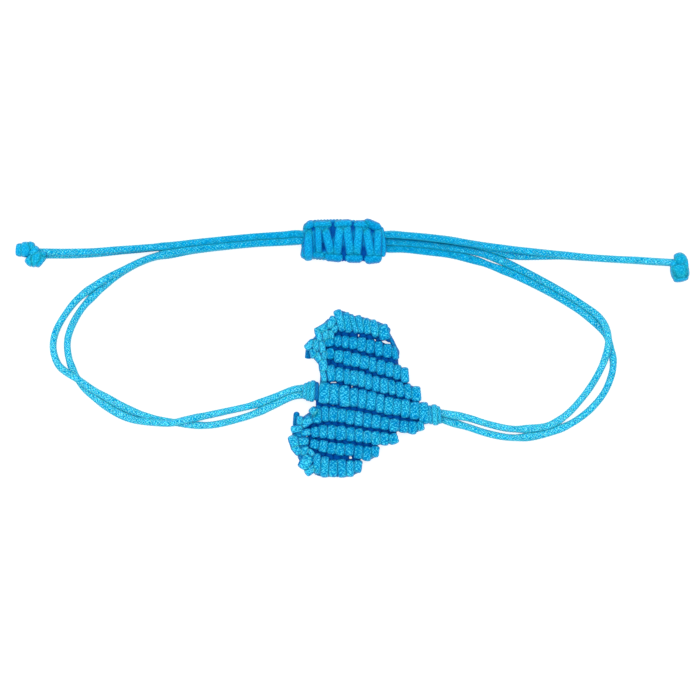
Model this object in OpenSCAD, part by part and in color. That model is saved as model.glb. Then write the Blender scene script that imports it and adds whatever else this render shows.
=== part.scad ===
// A macrame heart bracelet, lying flat: a heart of hitched cord rows, four cords that run
// round the wrist in two pairs, a sliding knot that closes the loop, and two knotted tails.
// Millimetres. X runs along the bracelet, Y across it, +Z up from the surface it lies on.
// The origin is on that surface, in the middle of the woven pieces.

/* [Cord] */
// Diameter of the braided cord, which is sold as 0.8 mm
cord_d = 0.78; // [0.74:0.01:0.8]

/* [Heart] */
// Width of the woven heart, with its borders
heart_w = 17.3; // [16.8:0.1:17.4]
// Height of the woven heart, from lobe to lobe
heart_h = 21.1; // [20.2:0.1:21.2]
// Thickness of the woven heart
heart_t = 2.3; // [2:0.1:2.6]
// How far a hitch narrows at the groove beside it, as a share of its size
groove_share = 0.2; // [0.1:0.01:0.3]
// Thickness of the working cords that join the rows under their grooves
web_t = 1; // [0.8:0.1:1.2]

/* [Sliding knot] */
// Length of the knot along the cords that it grips
knot_l = 10.8; // [10.2:0.1:11]
// Width of the knot across those cords
knot_w = 5.5; // [5.3:0.1:5.9]
// Thickness of the knot
knot_t = 3; // [3:0.1:3.3]
// How many times the working cord crosses the front
knot_crossings = 8; // [6:1:9]

/* [Hidden] */

azure = [0.07, 0.62, 0.84];
shaded_azure = [0.04, 0.45, 0.68];

// Rows of hitches. Columns: points of the row's centre line, its hitches.
ROW_LINE = 0;
ROW_HITCHES = 1;
ROWS = [
    [[[-4.2, 3.3], [-0.7, 2.8], [2.9, 1.4]], 7],
    [[[-5.2, 1.1], [-0.7, 0.5], [3.8, -0.6]], 8],
    [[[-5.1, -0.7], [0, -1.8], [5.2, -3.3]], 10],
    [[[-5.2, -2.7], [0.9, -4.2], [6.9, -5.9]], 11],
    [[[-5.6, -5.4], [1, -6.7], [7.83, -8.33]], 12],
    [[[-6, -8], [0.4, -8.9], [6.7, -10]], 12],
    [[[-7.5, -9.9], [-1.8, -10.8], [3.8, -11.3]], 10],
    [[[-7.5, -11.8], [-2.9, -12.7], [1.6, -13.1]], 8],
    [[[-7.2, -14.1], [-4, -15], [-0.7, -14.9]], 6],
];
// The heart's outline: above the first row, below the last one, and down the left side, where
// hitches wrap the lobes' edges. The left side has a point for each groove and each row.
TOP_EDGE = [[-4.2, 4.1], [-3.3, 4.75], [-2.3, 4.35], [-1.2, 4], [0, 3.7], [1, 3.35], [2, 2.85],
    [2.9, 2.3]];
BOTTOM_EDGE = [[-7.4, -14.9], [-6.3, -15.5], [-4.9, -15.95], [-3.9, -16.04], [-2.3, -15.95],
    [-0.7, -15.75]];
LEFT_EDGE = [
    [-4.7, 4.3], [-5.4, 3.4], [-5.75, 2.3], [-6.4, 1.3], [-6.95, 0.5], [-6.6, -0.2],
    [-6.1, -1.6], [-5.9, -2.6], [-5.5, -4], [-5.66, -5.4], [-5.95, -6.85], [-7, -8.1],
    [-7.65, -9.1], [-8.9, -10.1], [-8.9, -11.1], [-9.32, -12.1], [-8.85, -13.2],
    [-8.5, -14.4], [-7.9, -15.1],
];
// How far each groove's right end goes past the mean of its rows' ends
GROOVE_REACH = [0, 0.4, 0.1, -0.3, -0.3, -0.5, -0.3, -0.3, -0.3, 0];
// Thickness of a row's shoulder and of the outline, as shares of the heart's
SHOULDER = 0.86;
RIM = 0.4;
// Where a shoulder lies, as a share of the way from the middle of the row to its groove
SHOULDER_PLACE = 0.6;
HEART_LINES = 4 * len(ROWS);
HEART_STEPS = 50;
// The columns left of the rows: outline, crown of the edge's wrap, groove before the rows
EDGE_COLUMNS = 3;
heart_columns = EDGE_COLUMNS + HEART_STEPS;

// The wrapped knots beside the heart. Columns: place along X, size across, as shares.
CLEFT_FORM = [[0, 0.6], [0.18, 0.7], [0.42, 0.88], [0.62, 1], [0.78, 1], [0.88, 0.93], [1, 0.84]];
TIP_FORM = [[0, 0.72], [0.14, 0.92], [0.34, 1], [0.5, 0.97], [0.66, 1], [0.86, 0.9], [1, 0.68]];
CLEFT_X = [-7.5, -5.96];
CLEFT_Y = -5.45;
CLEFT_HALF = [1.3, 1.12];
TIP_X = [8.0, 9.5];
TIP_Y = -8.4;
TIP_HALF = [1.3, 1.12];
COLLAR_SIDES = 12;

// The line that the four cords take through the sliding knot, from its left end to its right
KNOT_LEFT = [-8, 13.75];
KNOT_RIGHT = [2.8, 13.25];
knot_mid = (KNOT_LEFT + KNOT_RIGHT) / 2;
// How far the knot's middle lies to the wrist's side of that line
KNOT_SAG = 0.2;
knot_tilt = atan2(KNOT_RIGHT[1] - KNOT_LEFT[1], KNOT_RIGHT[0] - KNOT_LEFT[0]);
knot_pitch = knot_l / (knot_crossings + 0.7);
// The hole for the four cords: its full width and height, and its middle above the surface
HOLE_W = 2.75;
HOLE_H = 2.1;
HOLE_Z = 1.5;

// Routes of the four cords, from the heart round the wrist, through the knot, to a tail
LEFT_1 = [
    [-7.6, -5.05, 1.2], [-9, -5.3, 1.05], [-11.3, -6.25, 0.7], [-13.9, -7.2, 0.45],
    [-17.4, -8, 0.4], [-20.2, -8.6, 0.55], [-22.2, -9, 1.05], [-24.2, -9.45, 1.24],
    [-26.5, -9.35, 1.1], [-28.4, -9.1, 0.75], [-30.2, -8.5, 0.45], [-32, -7.5, 0.4],
    [-33.6, -6.35, 0.4], [-35.1, -4.95, 0.4], [-36.2, -3.25, 0.4], [-36.95, -1.25, 0.4],
    [-37.1, 0.9, 0.4], [-36.4, 3.05, 0.4], [-35.05, 5.2, 0.4], [-32.9, 7.35, 0.4],
    [-30.15, 9.5, 0.4], [-26.95, 11.1, 0.4], [-23.8, 11.75, 0.4], [-20.5, 12.3, 0.4],
    [-14.3, 12.95, 0.45], [-10.2, 13.18, 0.8], [-8, 13.32, 1.06], [-5.3, 13.65, 0.88],
    [-2.6, 13.93, 1.07], [0.1, 14, 1.5], [2.8, 14.09, 1.93], [5.2, 14, 1.76],
    [8.4, 13.72, 1.38], [12, 13.22, 1.24], [16.4, 12.55, 1.2], [20.5, 12.05, 0.95],
    [24.5, 11.65, 1.22], [29.5, 11.15, 1.24], [34.5, 10.9, 1.24], [38.6, 10.65, 1.22],
];
LEFT_2 = [
    [-7.6, -5.9, 1.2], [-9, -6.15, 1.05], [-11.3, -7.2, 0.7], [-13.9, -8.35, 0.45],
    [-16.5, -9.15, 0.4], [-19.2, -9.7, 0.4], [-21.7, -9.65, 0.4], [-24.05, -9.3, 0.4],
    [-26.45, -8.85, 0.4], [-28.5, -8.15, 0.4], [-30.4, -7.3, 0.4], [-32.3, -6.2, 0.5],
    [-34, -5.2, 0.88], [-35.55, -4.1, 1.26], [-37.1, -3.15, 0.98], [-38.3, -2.05, 0.5],
    [-38.9, -0.1, 0.4], [-38.6, 1.9, 0.4], [-37.45, 4.05, 0.4], [-35.65, 6.25, 0.42],
    [-32.8, 8.3, 0.95], [-29.9, 9.8, 1.24], [-26.9, 11.15, 1.24], [-23.8, 11.9, 1.24],
    [-20.5, 12.35, 1.24], [-14.3, 12.95, 1.29], [-10.2, 13.18, 1.64], [-8, 13.32, 1.95],
    [-5.3, 12.99, 1.53], [-2.6, 13.07, 1.07], [0.1, 13.38, 0.9], [2.8, 14.09, 1.07],
    [5.2, 14, 0.92], [8.4, 13.72, 0.52], [12, 13.22, 0.4], [16.4, 12.2, 0.4],
    [19.2, 11.4, 0.4], [24.5, 11.45, 0.4], [29.5, 11.15, 0.4], [38.6, 10.6, 0.4],
];
RIGHT_1 = [
    [9.65, -8.15, 1.35], [11, -8.4, 1.2], [13.05, -8.8, 0.8], [15.5, -9.55, 0.45],
    [18.2, -10.15, 0.4], [20.8, -10.15, 0.4], [23.3, -9.7, 0.4], [25.4, -8.35, 0.4],
    [27.1, -6.55, 0.4], [28.55, -4.6, 0.4], [29.7, -2.5, 0.55], [30.3, -0.75, 1.05],
    [30.55, 0.9, 1.24], [30.2, 2.6, 1.15], [29.2, 4, 0.45], [27.15, 5.5, 0.4],
    [24.85, 6.95, 0.4], [22.05, 8.5, 0.4], [19.2, 9.95, 0.4], [16.4, 11.2, 0.4],
    [14, 11.95, 0.4], [11, 12.45, 0.4], [8, 12.85, 0.45], [5, 13.12, 0.9],
    [2.8, 13.2, 1.22], [0.1, 13.32, 2.11], [-2.6, 13.93, 1.93], [-5.3, 14.23, 1.5],
    [-8, 14.18, 1.07], [-10.2, 14.04, 0.8], [-14.3, 13.78, 0.42], [-20.5, 13.18, 0.4],
    [-25, 12.6, 0.4], [-30, 12.1, 0.4], [-35, 11.65, 0.4], [-39.95, 11.55, 0.4],
];
RIGHT_2 = [
    [9.65, -8.95, 0.9], [10.95, -9.35, 0.75], [13, -9.95, 0.5], [15.5, -10.75, 0.4],
    [18.2, -11.25, 0.4], [20.8, -11.15, 0.4], [23.45, -10.55, 0.4], [26, -9.45, 0.4],
    [28.2, -7.85, 0.4], [29.95, -5.8, 0.4], [30.9, -3.7, 0.4], [31.2, -1.9, 0.4],
    [30.9, -0.2, 0.4], [30.35, 1.5, 0.4], [29.2, 2.8, 0.4], [27.3, 4.4, 0.4],
    [24.65, 6.1, 0.4], [21.7, 7.7, 0.4], [18.7, 9.15, 0.4], [16, 10.2, 0.4],
    [14, 10.9, 0.4], [11, 11.6, 0.4], [8, 11.99, 0.42], [5, 12.3, 0.75],
    [2.8, 12.34, 1.1], [0.1, 12.73, 1.48], [-2.6, 13.07, 1.93], [-5.3, 13.62, 2.1],
    [-8, 14.18, 1.93], [-10.2, 14.04, 1.64], [-14.3, 13.78, 1.26], [-20.5, 13.18, 1.24],
    [-25, 12.65, 1.24], [-30, 12.3, 1.22], [-35, 11.95, 1.2], [-39.95, 11.95, 1.15],
];
CORD_SIDES = 8;
CORD_RINGS = 50;

// The tails' end knots. Columns: middle of a lobe in X and Y, its radius.
LEFT_LOBES = [[-42.45, 12.15, 1.12], [-41.05, 11.15, 1.18]];
RIGHT_LOBES = [[39.6, 11, 1.02], [39.45, 9.6, 1.2]];
LEFT_SEAT_X = -40;
RIGHT_SEAT_X = 38.65;
// The side of each knot below this Y stays round, because no cord comes in there
LEFT_SEAT_Y = 9;
RIGHT_SEAT_Y = 10.15;
LOBE_SIDES = 12;

// Trimmed cord ends. Columns: foot in X and Y, tip in X and Y.
UPPER_STUB = [[-6.92, -0.8], [-6.95, -1.15]];
LOWER_STUB = [[-8.5, -9.4], [-8.42, -8.45]];
STUB_Z = 1;

function unit(v) = v / norm(v);

// A point on the smooth curve through pts, at share t of the way along its spans
function curve_at(pts, t) =
    let (spans = len(pts) - 1, s = min(spans * t, spans - 0.00001), i = floor(s), f = s - i)
    let (a = pts[max(i - 1, 0)], b = pts[i], c = pts[i + 1], d = pts[min(i + 2, spans)])
    b + (c - a) * f / 2 + (2 * a - 5 * b + 4 * c - d) * f * f / 2
    + (3 * b - a - 3 * c + d) * f * f * f / 2;

function heading_at(pts, t) =
    unit(curve_at(pts, min(t + 0.002, 1)) - curve_at(pts, max(t - 0.002, 0)));

// A ring across the heading: half size a to the side and b upwards
function ring(middle, heading, a, b, sides) =
    let (side = unit(cross(heading, [0, 0, 1])), up = cross(side, heading))
    [for (k = [0:sides - 1]) let (w = 360 * (k + 0.5) / sides)
        middle + a * cos(w) * side + b * sin(w) * up];

// A closed tube through a list of rings with the same number of points
module skin(rings) {
    n = len(rings[0]);
    last = (len(rings) - 1) * n;
    points = [for (r = rings) for (p = r) p];
    faces = concat(
        [for (i = [0:len(rings) - 2]) for (k = [0:n - 1])
            let (a = i * n + k, b = i * n + (k + 1) % n)
            for (f = [[a, b, b + n], [a, b + n, a + n]]) f],
        [[for (k = [0:n - 1]) n - 1 - k]],
        [[for (k = [0:n - 1]) last + k]]);
    polyhedron(points = points, faces = faces);
}

// One cord, swept along its route
module cord(route) {
    skin([for (i = [0:CORD_RINGS - 1]) let (t = i / (CORD_RINGS - 1))
        ring(curve_at(route, t), heading_at(route, t), cord_d / 2, cord_d / 2, CORD_SIDES)]);
}

function between(a, b, share) = a + (b - a) * share;

// The groove before row g, or the outline beyond the first and the last row
function groove_at(g, t) =
    g == 0 ? curve_at(TOP_EDGE, t)
    : g == len(ROWS) ? curve_at(BOTTOM_EDGE, t)
    : between(curve_at(ROWS[g - 1][ROW_LINE], t), curve_at(ROWS[g][ROW_LINE], t), 0.5)
        + [GROOVE_REACH[g] * pow(t, 4), 0];

// Heart lines run from left to right, four to a row: groove, shoulder, middle, shoulder
function heart_line_at(l, t) =
    let (r = floor(l / 4), part = l % 4)
    part == 0 ? groove_at(r, t)
    : part == 2 ? curve_at(ROWS[r][ROW_LINE], t)
    : between(curve_at(ROWS[r][ROW_LINE], t), groove_at(part == 1 ? r : r + 1, t), SHOULDER_PLACE);

// The heart's thickness along a line, as a share: each hitch is narrow at the groove beside it
function heart_share(l, t) =
    let (r = floor(l / 4), part = l % 4)
    part == 0 ? (l == 0 || l == HEART_LINES ? RIM : web_t / heart_t)
    : (part == 2 ? 1 : SHOULDER)
        * (1 - groove_share * (1 - abs(sin(180 * ROWS[r][ROW_HITCHES] * t))));

// Columns 0 and 1 are the wrapped edge, and the rest go along the row
function heart_point(l, i, side) =
    let (t = max(i - EDGE_COLUMNS + 1, 0) / HEART_STEPS)
    let (outer = between(LEFT_EDGE[floor(l / 2)], LEFT_EDGE[ceil(l / 2)], 0.5))
    let (p = i < 2 ? between(outer, heart_line_at(l, 0), i / 2) : heart_line_at(l, t))
    let (part = l % 4, wrap = l == 0 || l == HEART_LINES ? RIM : [0.6, 0.85, 0.96, 0.85][part])
    let (share = i == 0 || i == heart_columns - 1 ? RIM : i == 1 ? wrap : heart_share(l, t))
    [p[0], p[1], side * heart_t / 2 * share];

module heart_panel() {
    n = heart_columns;
    under = (HEART_LINES + 1) * n;
    points = [for (side = [1, -1]) for (l = [0:HEART_LINES]) for (i = [0:n - 1])
        heart_point(l, i, side)];
    faces = [for (l = [0:HEART_LINES - 1]) for (i = [0:n - 2])
        let (a = l * n + i, b = a + 1, c = b + n, d = a + n)
        for (f = [[a, b, c], [a, c, d], [a + under, c + under, b + under],
            [a + under, d + under, c + under]]) f];
    rim = concat([for (i = [0:n - 2]) i], [for (l = [0:HEART_LINES - 1]) l * n + n - 1],
        [for (i = [n - 1:-1:1]) HEART_LINES * n + i], [for (l = [HEART_LINES:-1:1]) l * n]);
    walls = [for (k = [0:len(rim) - 1]) let (a = rim[k], b = rim[(k + 1) % len(rim)])
        for (f = [[a, a + under, b + under], [a, b + under, b]]) f];
    color(azure)
        translate([0, 0, heart_t / 2])
            resize([heart_w, heart_h, heart_t])
                polyhedron(points = points, faces = concat(faces, walls));
}

// A short wrapped knot round a pair of cords, along X
module collar(form, span, y, half) {
    skin([for (f = form)
        ring([span[0] + (span[1] - span[0]) * f[0], y, half[1]], [1, 0, 0],
            half[0] * f[1], half[1] * f[1], COLLAR_SIDES)]);
}

module cleft_knot() {
    color(shaded_azure) collar(CLEFT_FORM, CLEFT_X, CLEFT_Y, CLEFT_HALF);
}

module tip_knot() {
    color(shaded_azure) collar(TIP_FORM, TIP_X, TIP_Y, TIP_HALF);
}

// A trimmed cord end: a short straight length with a rounded tip
module stub(ends) {
    reach = ends[1] - ends[0];
    translate([ends[0][0], ends[0][1], STUB_Z])
        rotate([0, 90, atan2(reach[1], reach[0])]) {
            cylinder(h = norm(reach), d = cord_d, $fn = 32);
            translate([0, 0, norm(reach)]) sphere(d = cord_d, $fn = 32);
        }
}

module upper_stub() {
    color(shaded_azure) stub(UPPER_STUB);
}

module lower_stub() {
    color(shaded_azure) stub(LOWER_STUB);
}

module left_cord_1() {
    color(azure) cord(LEFT_1);
}

module left_cord_2() {
    color(azure) cord(LEFT_2);
}

module right_cord_1() {
    color(azure) cord(RIGHT_1);
}

module right_cord_2() {
    color(azure) cord(RIGHT_2);
}

// One crossing of the working cord over a face of the knot, leaning by lean
module crossing(x, lean, z) {
    reach = knot_w / 2 - cord_d * 0.75;
    hull() for (end = [-1, 1])
        translate([x + lean * end, reach * end, z]) sphere(d = knot_pitch, $fn = 6);
}

// The turns that show along one edge of the knot, each over two crossings
module edge_turns(first, side) {
    for (i = [first:2:knot_crossings - 2])
        translate([(i + 1 - (knot_crossings - 1) / 2) * knot_pitch,
            side * (knot_w / 2 - cord_d * 0.75), 0])
            hull() for (end = [-1, 1])
                translate([end * knot_pitch * 0.45, 0, 0]) sphere(d = cord_d * 1.5, $fn = 6);
}

// The sliding knot: a sinnet of square knots with a hole for the four cords
module sliding_knot() {
    lean = knot_pitch * 0.18;
    face_z = knot_t / 2 - knot_pitch / 2;
    color(azure)
        translate([knot_mid[0], knot_mid[1], knot_t / 2])
            rotate([0, 0, knot_tilt])
                difference() {
                    translate([0, -KNOT_SAG, 0]) resize([knot_l, knot_w, knot_t])
                        union() {
                            for (i = [0:knot_crossings - 1])
                                let (x = (i - (knot_crossings - 1) / 2) * knot_pitch)
                                let (sway = i % 2 == 0 ? lean : -lean) {
                                    crossing(x, sway, face_z);
                                    crossing(x, -sway, -face_z);
                                }
                            edge_turns(0, -1);
                            edge_turns(1, 1);
                            cube([knot_l * 0.93, knot_w * 0.8, knot_t * 0.88], center = true);
                        }
                    translate([0, 0, HOLE_Z - knot_t / 2]) cord_hole();
                }
}

// The hole through the sliding knot, along X, past both ends
module cord_hole() {
    rotate([90, 0, 90])
        linear_extrude(knot_l * 1.2, center = true)
            union() {
                for (end = [-1, 1])
                    translate([end * (HOLE_W - HOLE_H) / 2, 0]) circle(d = HOLE_H, $fn = 48);
                square([HOLE_W - HOLE_H, HOLE_H], center = true);
            }
}

// An overhand knot in a doubled tail: two lobes, cut flat where the cords come in
module end_knot(lobes, seat_x, seat_y, side) {
    difference() {
        union() for (lobe = lobes)
            translate([lobe[0], lobe[1], lobe[2]]) sphere(r = lobe[2], $fn = LOBE_SIDES);
        translate([seat_x - side * 2, seat_y + 2, 2]) cube([4, 4, 8], center = true);
    }
}

module left_end_knot() {
    color(azure) end_knot(LEFT_LOBES, LEFT_SEAT_X, LEFT_SEAT_Y, -1);
}

module right_end_knot() {
    color(azure) end_knot(RIGHT_LOBES, RIGHT_SEAT_X, RIGHT_SEAT_Y, 1);
}

heart_panel();
cleft_knot();
tip_knot();
upper_stub();
lower_stub();
left_cord_1();
left_cord_2();
right_cord_1();
right_cord_2();
sliding_knot();
left_end_knot();
right_end_knot();
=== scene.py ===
"""A macrame heart bracelet of braided nylon cord, lying flat on a pale floor.

Everything on it is cord, so every surface here is a strand: an oval section carried along a
path, worked out as whole numpy arrays. Lengths are millimetres in the frame of the CAD model,
and become metres where a mesh is made.
"""
import math

import bpy
import numpy as np
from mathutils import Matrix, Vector


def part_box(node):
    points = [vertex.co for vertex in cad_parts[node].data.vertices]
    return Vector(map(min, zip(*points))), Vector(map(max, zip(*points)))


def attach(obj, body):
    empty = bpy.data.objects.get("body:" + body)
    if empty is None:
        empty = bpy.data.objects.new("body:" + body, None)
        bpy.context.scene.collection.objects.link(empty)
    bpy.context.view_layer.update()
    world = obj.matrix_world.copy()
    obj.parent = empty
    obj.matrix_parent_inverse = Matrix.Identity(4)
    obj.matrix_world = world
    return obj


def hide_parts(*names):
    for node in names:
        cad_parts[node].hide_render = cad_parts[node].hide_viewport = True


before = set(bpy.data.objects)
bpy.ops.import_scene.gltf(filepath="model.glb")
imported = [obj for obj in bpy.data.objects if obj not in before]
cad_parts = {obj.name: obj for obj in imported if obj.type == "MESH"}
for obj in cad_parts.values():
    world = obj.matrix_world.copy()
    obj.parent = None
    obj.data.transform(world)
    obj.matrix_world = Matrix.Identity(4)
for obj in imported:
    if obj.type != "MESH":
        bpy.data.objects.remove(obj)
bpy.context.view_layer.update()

MM = 0.001
UP = np.array([0.0, 0.0, 1.0])
chance = np.random.default_rng(7)

# Camera: straight above, through a long lens, with the photograph's frame
VIEW_WIDTH = 87.5
VIEW_MIDDLE = (-1.75, -0.3)
VIEW_LEVEL = 1.0
LENS = 200.0
SENSOR = 36.0


def make_camera():
    """A camera that looks straight down, with the view's middle and width at VIEW_LEVEL."""
    data = bpy.data.cameras.new("camera")
    data.lens, data.sensor_width = LENS, SENSOR
    camera = bpy.data.objects.new("camera", data)
    height = VIEW_LEVEL + VIEW_WIDTH * LENS / SENSOR
    camera.location = (VIEW_MIDDLE[0] * MM, VIEW_MIDDLE[1] * MM, height * MM)
    bpy.context.scene.collection.objects.link(camera)
    bpy.context.scene.camera = camera


make_camera()

# The braid of the cord: bundles of filament each way round, and the length in which one
# bundle moves on by its own place. A 0.8 mm cord has eight each way, about 0.3 mm apart.
CORD_D = 0.79
BUNDLES = 8
BRAID_STEP = 0.4
LOOSE_RELIEF = 0.1
TIGHT_RELIEF = 0.04
KNOT_RELIEF = 0.02
# In how many steps a curve is worked out between two of its key points
FINE_STEPS = 24
# Where a round end's last ring stands, as a share of the rounding, so that its cap has a width
BLUNT = 0.03


def unit(vectors):
    """The same directions with a length of 1."""
    return vectors / np.linalg.norm(vectors, axis=-1, keepdims=True)


def curve_through(points, step):
    """The smooth curve through key points, at equal steps of length.

    From b to c, with a before and d after, at share f of the way:
    b + (c - a) f / 2 + (2a - 5b + 4c - d) f^2 / 2 + (3b - a - 3c + d) f^3 / 2.
    Columns past the third, such as a strand's width, are carried along.
    """
    points = np.asarray(points, float)
    spans = len(points) - 1
    s = np.linspace(0, spans, spans * FINE_STEPS + 1)
    i = np.minimum(s.astype(int), spans - 1)
    f = (s - i)[:, None]
    a, b = points[np.maximum(i - 1, 0)], points[i]
    c, d = points[i + 1], points[np.minimum(i + 2, spans)]
    fine = (b + (c - a) * f / 2 + (2 * a - 5 * b + 4 * c - d) * f ** 2 / 2
            + (3 * b - a - 3 * c + d) * f ** 3 / 2)
    run = np.append(0, np.cumsum(np.linalg.norm(np.diff(fine[:, :3], axis=0), axis=1)))
    even = np.linspace(0, run[-1], max(round(run[-1] / step), 4) + 1)
    return np.stack([np.interp(even, run, column) for column in fine.T], axis=1)


def braid_height(u, v):
    """The braid's height, 0 in its gaps and 1 on its crowns, at u mm along and share v round.

    Two families of bundles wind round the cord, p = n v + u / step and q = n v - u / step.
    Where floor(p) + floor(q) is even the first lies on top, else the second, and the one on
    top is high in its middle: sin(pi across) (0.6 + 0.4 sin(pi along)).
    """
    p, q = BUNDLES * v + u / BRAID_STEP, BUNDLES * v - u / BRAID_STEP
    first = (np.floor(p) + np.floor(q)) % 2 < 1
    across, along = np.where(first, p, q) % 1, np.where(first, q, p) % 1
    return np.sin(np.pi * across) * (0.6 + 0.4 * np.sin(np.pi * along))


def strand(path, out, half_width, half_height, sides=14, closed=False, round_ends=0.3,
           relief=TIGHT_RELIEF, square=1.0, sunk=0.0, side_shade=0.0, tone=0.0):
    """A tube round a path, with the braid raised on it.

    P(i, k) = path(i) + side a C(w) + top b S(w), with w = 2 pi k / sides, where side is
    heading x out and top is side x heading. C and S are the cosine and the sine with their
    size raised to the power square, and a and b shrink by relief where the braid is low. An
    open tube's ends are round: a and b times sqrt(1 - (1 - s / r)^2) at s from an end, up to
    r = round_ends. Its painted shade, which darkens it, is sunk, or side_shade cos^2 w
    at its two sides, where it meets its neighbours and shade falls. Its tone, which may be given
    ring by ring, goes up or down a little at random, so that no two strands have quite the same
    colour, and where it is given it may also carry painted light and shade.
    """
    n = len(path)
    half_width, half_height = np.broadcast_to(half_width, n), np.broadcast_to(half_height, n)
    if closed:
        heading = unit(np.roll(path, -1, axis=0) - np.roll(path, 1, axis=0))
        gaps = np.linalg.norm(np.roll(path, -1, axis=0) - path, axis=1)
        length = gaps.sum()
        # A whole number of braid steps, so that the pattern meets itself
        steps = max(round(length / BRAID_STEP), 1)
        u = np.append(0, np.cumsum(gaps)) * steps * BRAID_STEP / length
    else:
        heading = unit(np.gradient(path, axis=0))
        u = np.append(0, np.cumsum(np.linalg.norm(np.diff(path, axis=0), axis=1)))
        from_end = np.minimum(u, u[-1] - u)
        taper = np.sqrt(1 - (1 - np.clip(from_end / round_ends, BLUNT, 1)) ** 2)
        half_width, half_height = half_width * taper, half_height * taper
    side = unit(np.cross(heading, np.broadcast_to(out, path.shape)))
    top = np.cross(side, heading)
    v = np.arange(sides + 1) / sides
    cosine, sine = (np.sign(f) * np.abs(f) ** square
                    for f in (np.cos(2 * np.pi * v[:-1]), np.sin(2 * np.pi * v[:-1])))
    lift = 1 - relief * (1 - braid_height(u[:n, None], v[None, :-1]))
    points = (path[:, None] + side[:, None] * (half_width[:, None] * cosine * lift)[..., None]
              + top[:, None] * (half_height[:, None] * sine * lift)[..., None])
    rings = n if closed else n - 1
    i, k = np.meshgrid(np.arange(rings), np.arange(sides), indexing="ij")
    corner_i = np.stack([i, i + 1, i + 1, i], axis=-1)
    corner_k = np.stack([k, k, k + 1, k + 1], axis=-1)
    corners = ((corner_i % n) * sides + corner_k % sides).reshape(-1)
    uv = np.stack([u[corner_i], v[corner_k]], axis=-1).reshape(-1, 2)
    sizes = np.full(rings * sides, 4)
    if not closed:
        ends = np.append(np.arange(sides), (n - 1) * sides + np.arange(sides)[::-1])
        corners = np.append(corners, ends)
        uv = np.concatenate([uv, np.stack([u[ends // sides], v[ends % sides]], axis=-1)])
        sizes = np.append(sizes, [sides, sides])
    painted_shade = np.maximum(sunk, side_shade * np.cos(2 * np.pi * v[:-1]) ** 2)
    return {"points": points.reshape(-1, 3), "corners": corners, "uv": uv, "sizes": sizes,
            "tone": np.repeat(np.broadcast_to(tone, n) + chance.uniform(-0.5, 0.5), sides),
            "painted_shade": np.tile(painted_shade, n)}


# The size of a cell of the maps that hollows are found with
CELL = 0.12


def highest_near(level):
    """The highest value of a map within one cell each way, which closes its small gaps."""
    for axis in (0, 1):
        level = np.maximum.reduce([np.roll(level, step, axis) for step in (-1, 0, 1)])
    return level


def blurred(level, reach):
    """The mean of a map over about reach mm, as a product of Gaussians in its Fourier space."""
    fx, fy = np.meshgrid(*(np.fft.fftfreq(n, CELL) for n in level.shape), indexing="ij")
    soft = np.exp(-2 * (np.pi * reach / 2) ** 2 * (fx ** 2 + fy ** 2))
    return np.fft.ifft2(np.fft.fft2(level) * soft).real


def hollow(points, reach=0.9, full=0.8):
    """How deep each point lies between its neighbours, from 0 to 1.

    A map holds the highest point over each small cell. Blurred, it is the level round about,
    and how far a point lies below that level, over full, is its depth, which is painted on as
    shade. The lower half of the piece is measured the same way from beneath. Flanks near the
    middle level get painted shade too: 0.6 (1 - |z - middle| / (0.4 thickness)).
    """
    low, high = points.min(0), points.max(0)
    edge = 3 * reach
    cell = ((points[:, :2] - low[:2] + edge) / CELL).astype(int)
    shape = cell.max(0) + int(edge / CELL)
    height = points[:, 2] - low[2]
    thick = high[2] - low[2]
    painted_shade = np.zeros(len(points))
    for z, here in ((height, height >= thick / 2), (thick - height, height < thick / 2)):
        level = np.zeros(shape)
        np.maximum.at(level, (cell[:, 0], cell[:, 1]), z)
        around = blurred(highest_near(level), reach)[cell[:, 0], cell[:, 1]]
        painted_shade[here] = ((around - z) / full)[here]
    flank = 0.6 * (1 - np.abs(height - thick / 2) / (0.4 * thick))
    return np.clip(np.maximum(painted_shade, flank), 0, 1)


def piece(name, tubes, material, in_hollows=False):
    """One mesh of several tubes, in metres, with their UVs, tones and depths."""
    starts = np.append(0, np.cumsum([len(t["points"]) for t in tubes]))
    points = np.concatenate([t["points"] for t in tubes])
    corners = np.concatenate([t["corners"] + s for t, s in zip(tubes, starts)])
    sizes = np.concatenate([t["sizes"] for t in tubes])
    mesh = bpy.data.meshes.new(name)
    mesh.vertices.add(len(points))
    mesh.vertices.foreach_set("co", (points * MM).ravel())
    mesh.loops.add(len(corners))
    mesh.loops.foreach_set("vertex_index", corners)
    mesh.polygons.add(len(sizes))
    mesh.polygons.foreach_set("loop_start", np.append(0, np.cumsum(sizes)[:-1]))
    mesh.polygons.foreach_set("use_smooth", np.ones(len(sizes), bool))
    mesh.update(calc_edges=True)
    mesh.uv_layers.new(name="along_the_cord").data.foreach_set(
        "uv", np.concatenate([t["uv"] for t in tubes]).ravel())
    # Painted shade: each tube's own, and with in_hollows the shade painted into the hollows too
    values = {"tone": np.concatenate([t["tone"] for t in tubes]),
              "painted_shade": np.maximum(hollow(points) if in_hollows else 0.0,
                                  np.concatenate([t["painted_shade"] for t in tubes]))}
    for key, value in values.items():
        mesh.attributes.new(key, "FLOAT", "POINT").data.foreach_set("value", value)
    mesh.materials.append(material)
    made = bpy.data.objects.new(name, mesh)
    bpy.context.scene.collection.objects.link(made)
    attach(made, "root")
    return made


def linear(code):
    """A colour as #RRGGBB in sRGB, turned to linear light."""
    srgb = [int(code[i:i + 2], 16) / 255 for i in (1, 3, 5)]
    return [c / 12.92 if c < 0.04045 else ((c + 0.055) / 1.055) ** 2.4 for c in srgb] + [1.0]


def add(tree, kind, inputs=None, **settings):
    """Adds a node: its settings by name, and each input a value or the output that feeds it."""
    made = tree.nodes.new(kind)
    for name, value in settings.items():
        setattr(made, name, value)
    for name, value in (inputs or {}).items():
        if isinstance(value, bpy.types.NodeSocket):
            tree.links.new(value, made.inputs[name])
        else:
            made.inputs[name].default_value = value
    return made


def new_material(name):
    """A material with an empty node tree."""
    material = bpy.data.materials.new(name)
    material.use_nodes = True
    material.node_tree.nodes.clear()
    return material


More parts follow.
